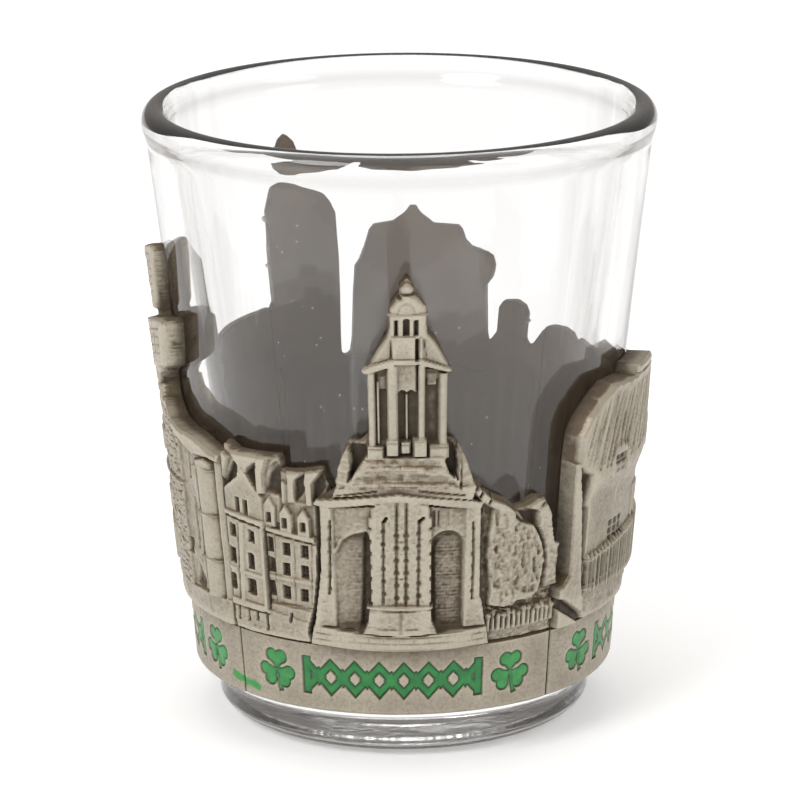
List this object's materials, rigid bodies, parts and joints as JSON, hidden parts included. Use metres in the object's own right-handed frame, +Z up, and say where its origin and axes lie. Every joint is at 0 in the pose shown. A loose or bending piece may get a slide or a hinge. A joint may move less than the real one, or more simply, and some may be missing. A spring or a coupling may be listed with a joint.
{
  "type": "souvenir shot glass",
  "caption": "Tapered heavy-based shot glass wrapped in cast pewter relief panels of buildings above an enamelled band of clovers and lattice ornament.",
  "frame": {"origin": "centre of the foot, on the surface the glass stands on", "axes": "+Z up along the glass axis, -Y out through the middle of the bell tower panel, +X out through the middle of the cottage panel"},
  "size_m": [0.0494, 0.0494, 0.06],
  "materials": {
    "glass": "clear polished",
    "pewter": "antiqued satin pewter",
    "adhesive": "dark cured adhesive",
    "clover_enamel": "soft gloss green enamel",
    "frieze_enamel": "soft gloss dark green enamel"
  },
  "bodies": {
    "root": {"glass_tumbler": "glass", "bell_tower_panel": "pewter", "cottage_panel": "pewter", "round_tower_panel": "pewter", "castle_panel": "pewter", "bell_tower_adhesive": "adhesive", "cottage_adhesive": "adhesive", "round_tower_adhesive": "adhesive", "castle_adhesive": "adhesive", "bell_tower_clover_left": "clover_enamel", "bell_tower_clover_right": "clover_enamel", "bell_tower_frieze": "frieze_enamel", "cottage_clover_left": "clover_enamel", "cottage_clover_right": "clover_enamel", "cottage_frieze": "frieze_enamel", "round_tower_clover_left": "clover_enamel", "round_tower_clover_right": "clover_enamel", "round_tower_frieze": "frieze_enamel", "castle_clover_left": "clover_enamel", "castle_clover_right": "clover_enamel", "castle_frieze": "frieze_enamel"}
  },
  "joints": []
}
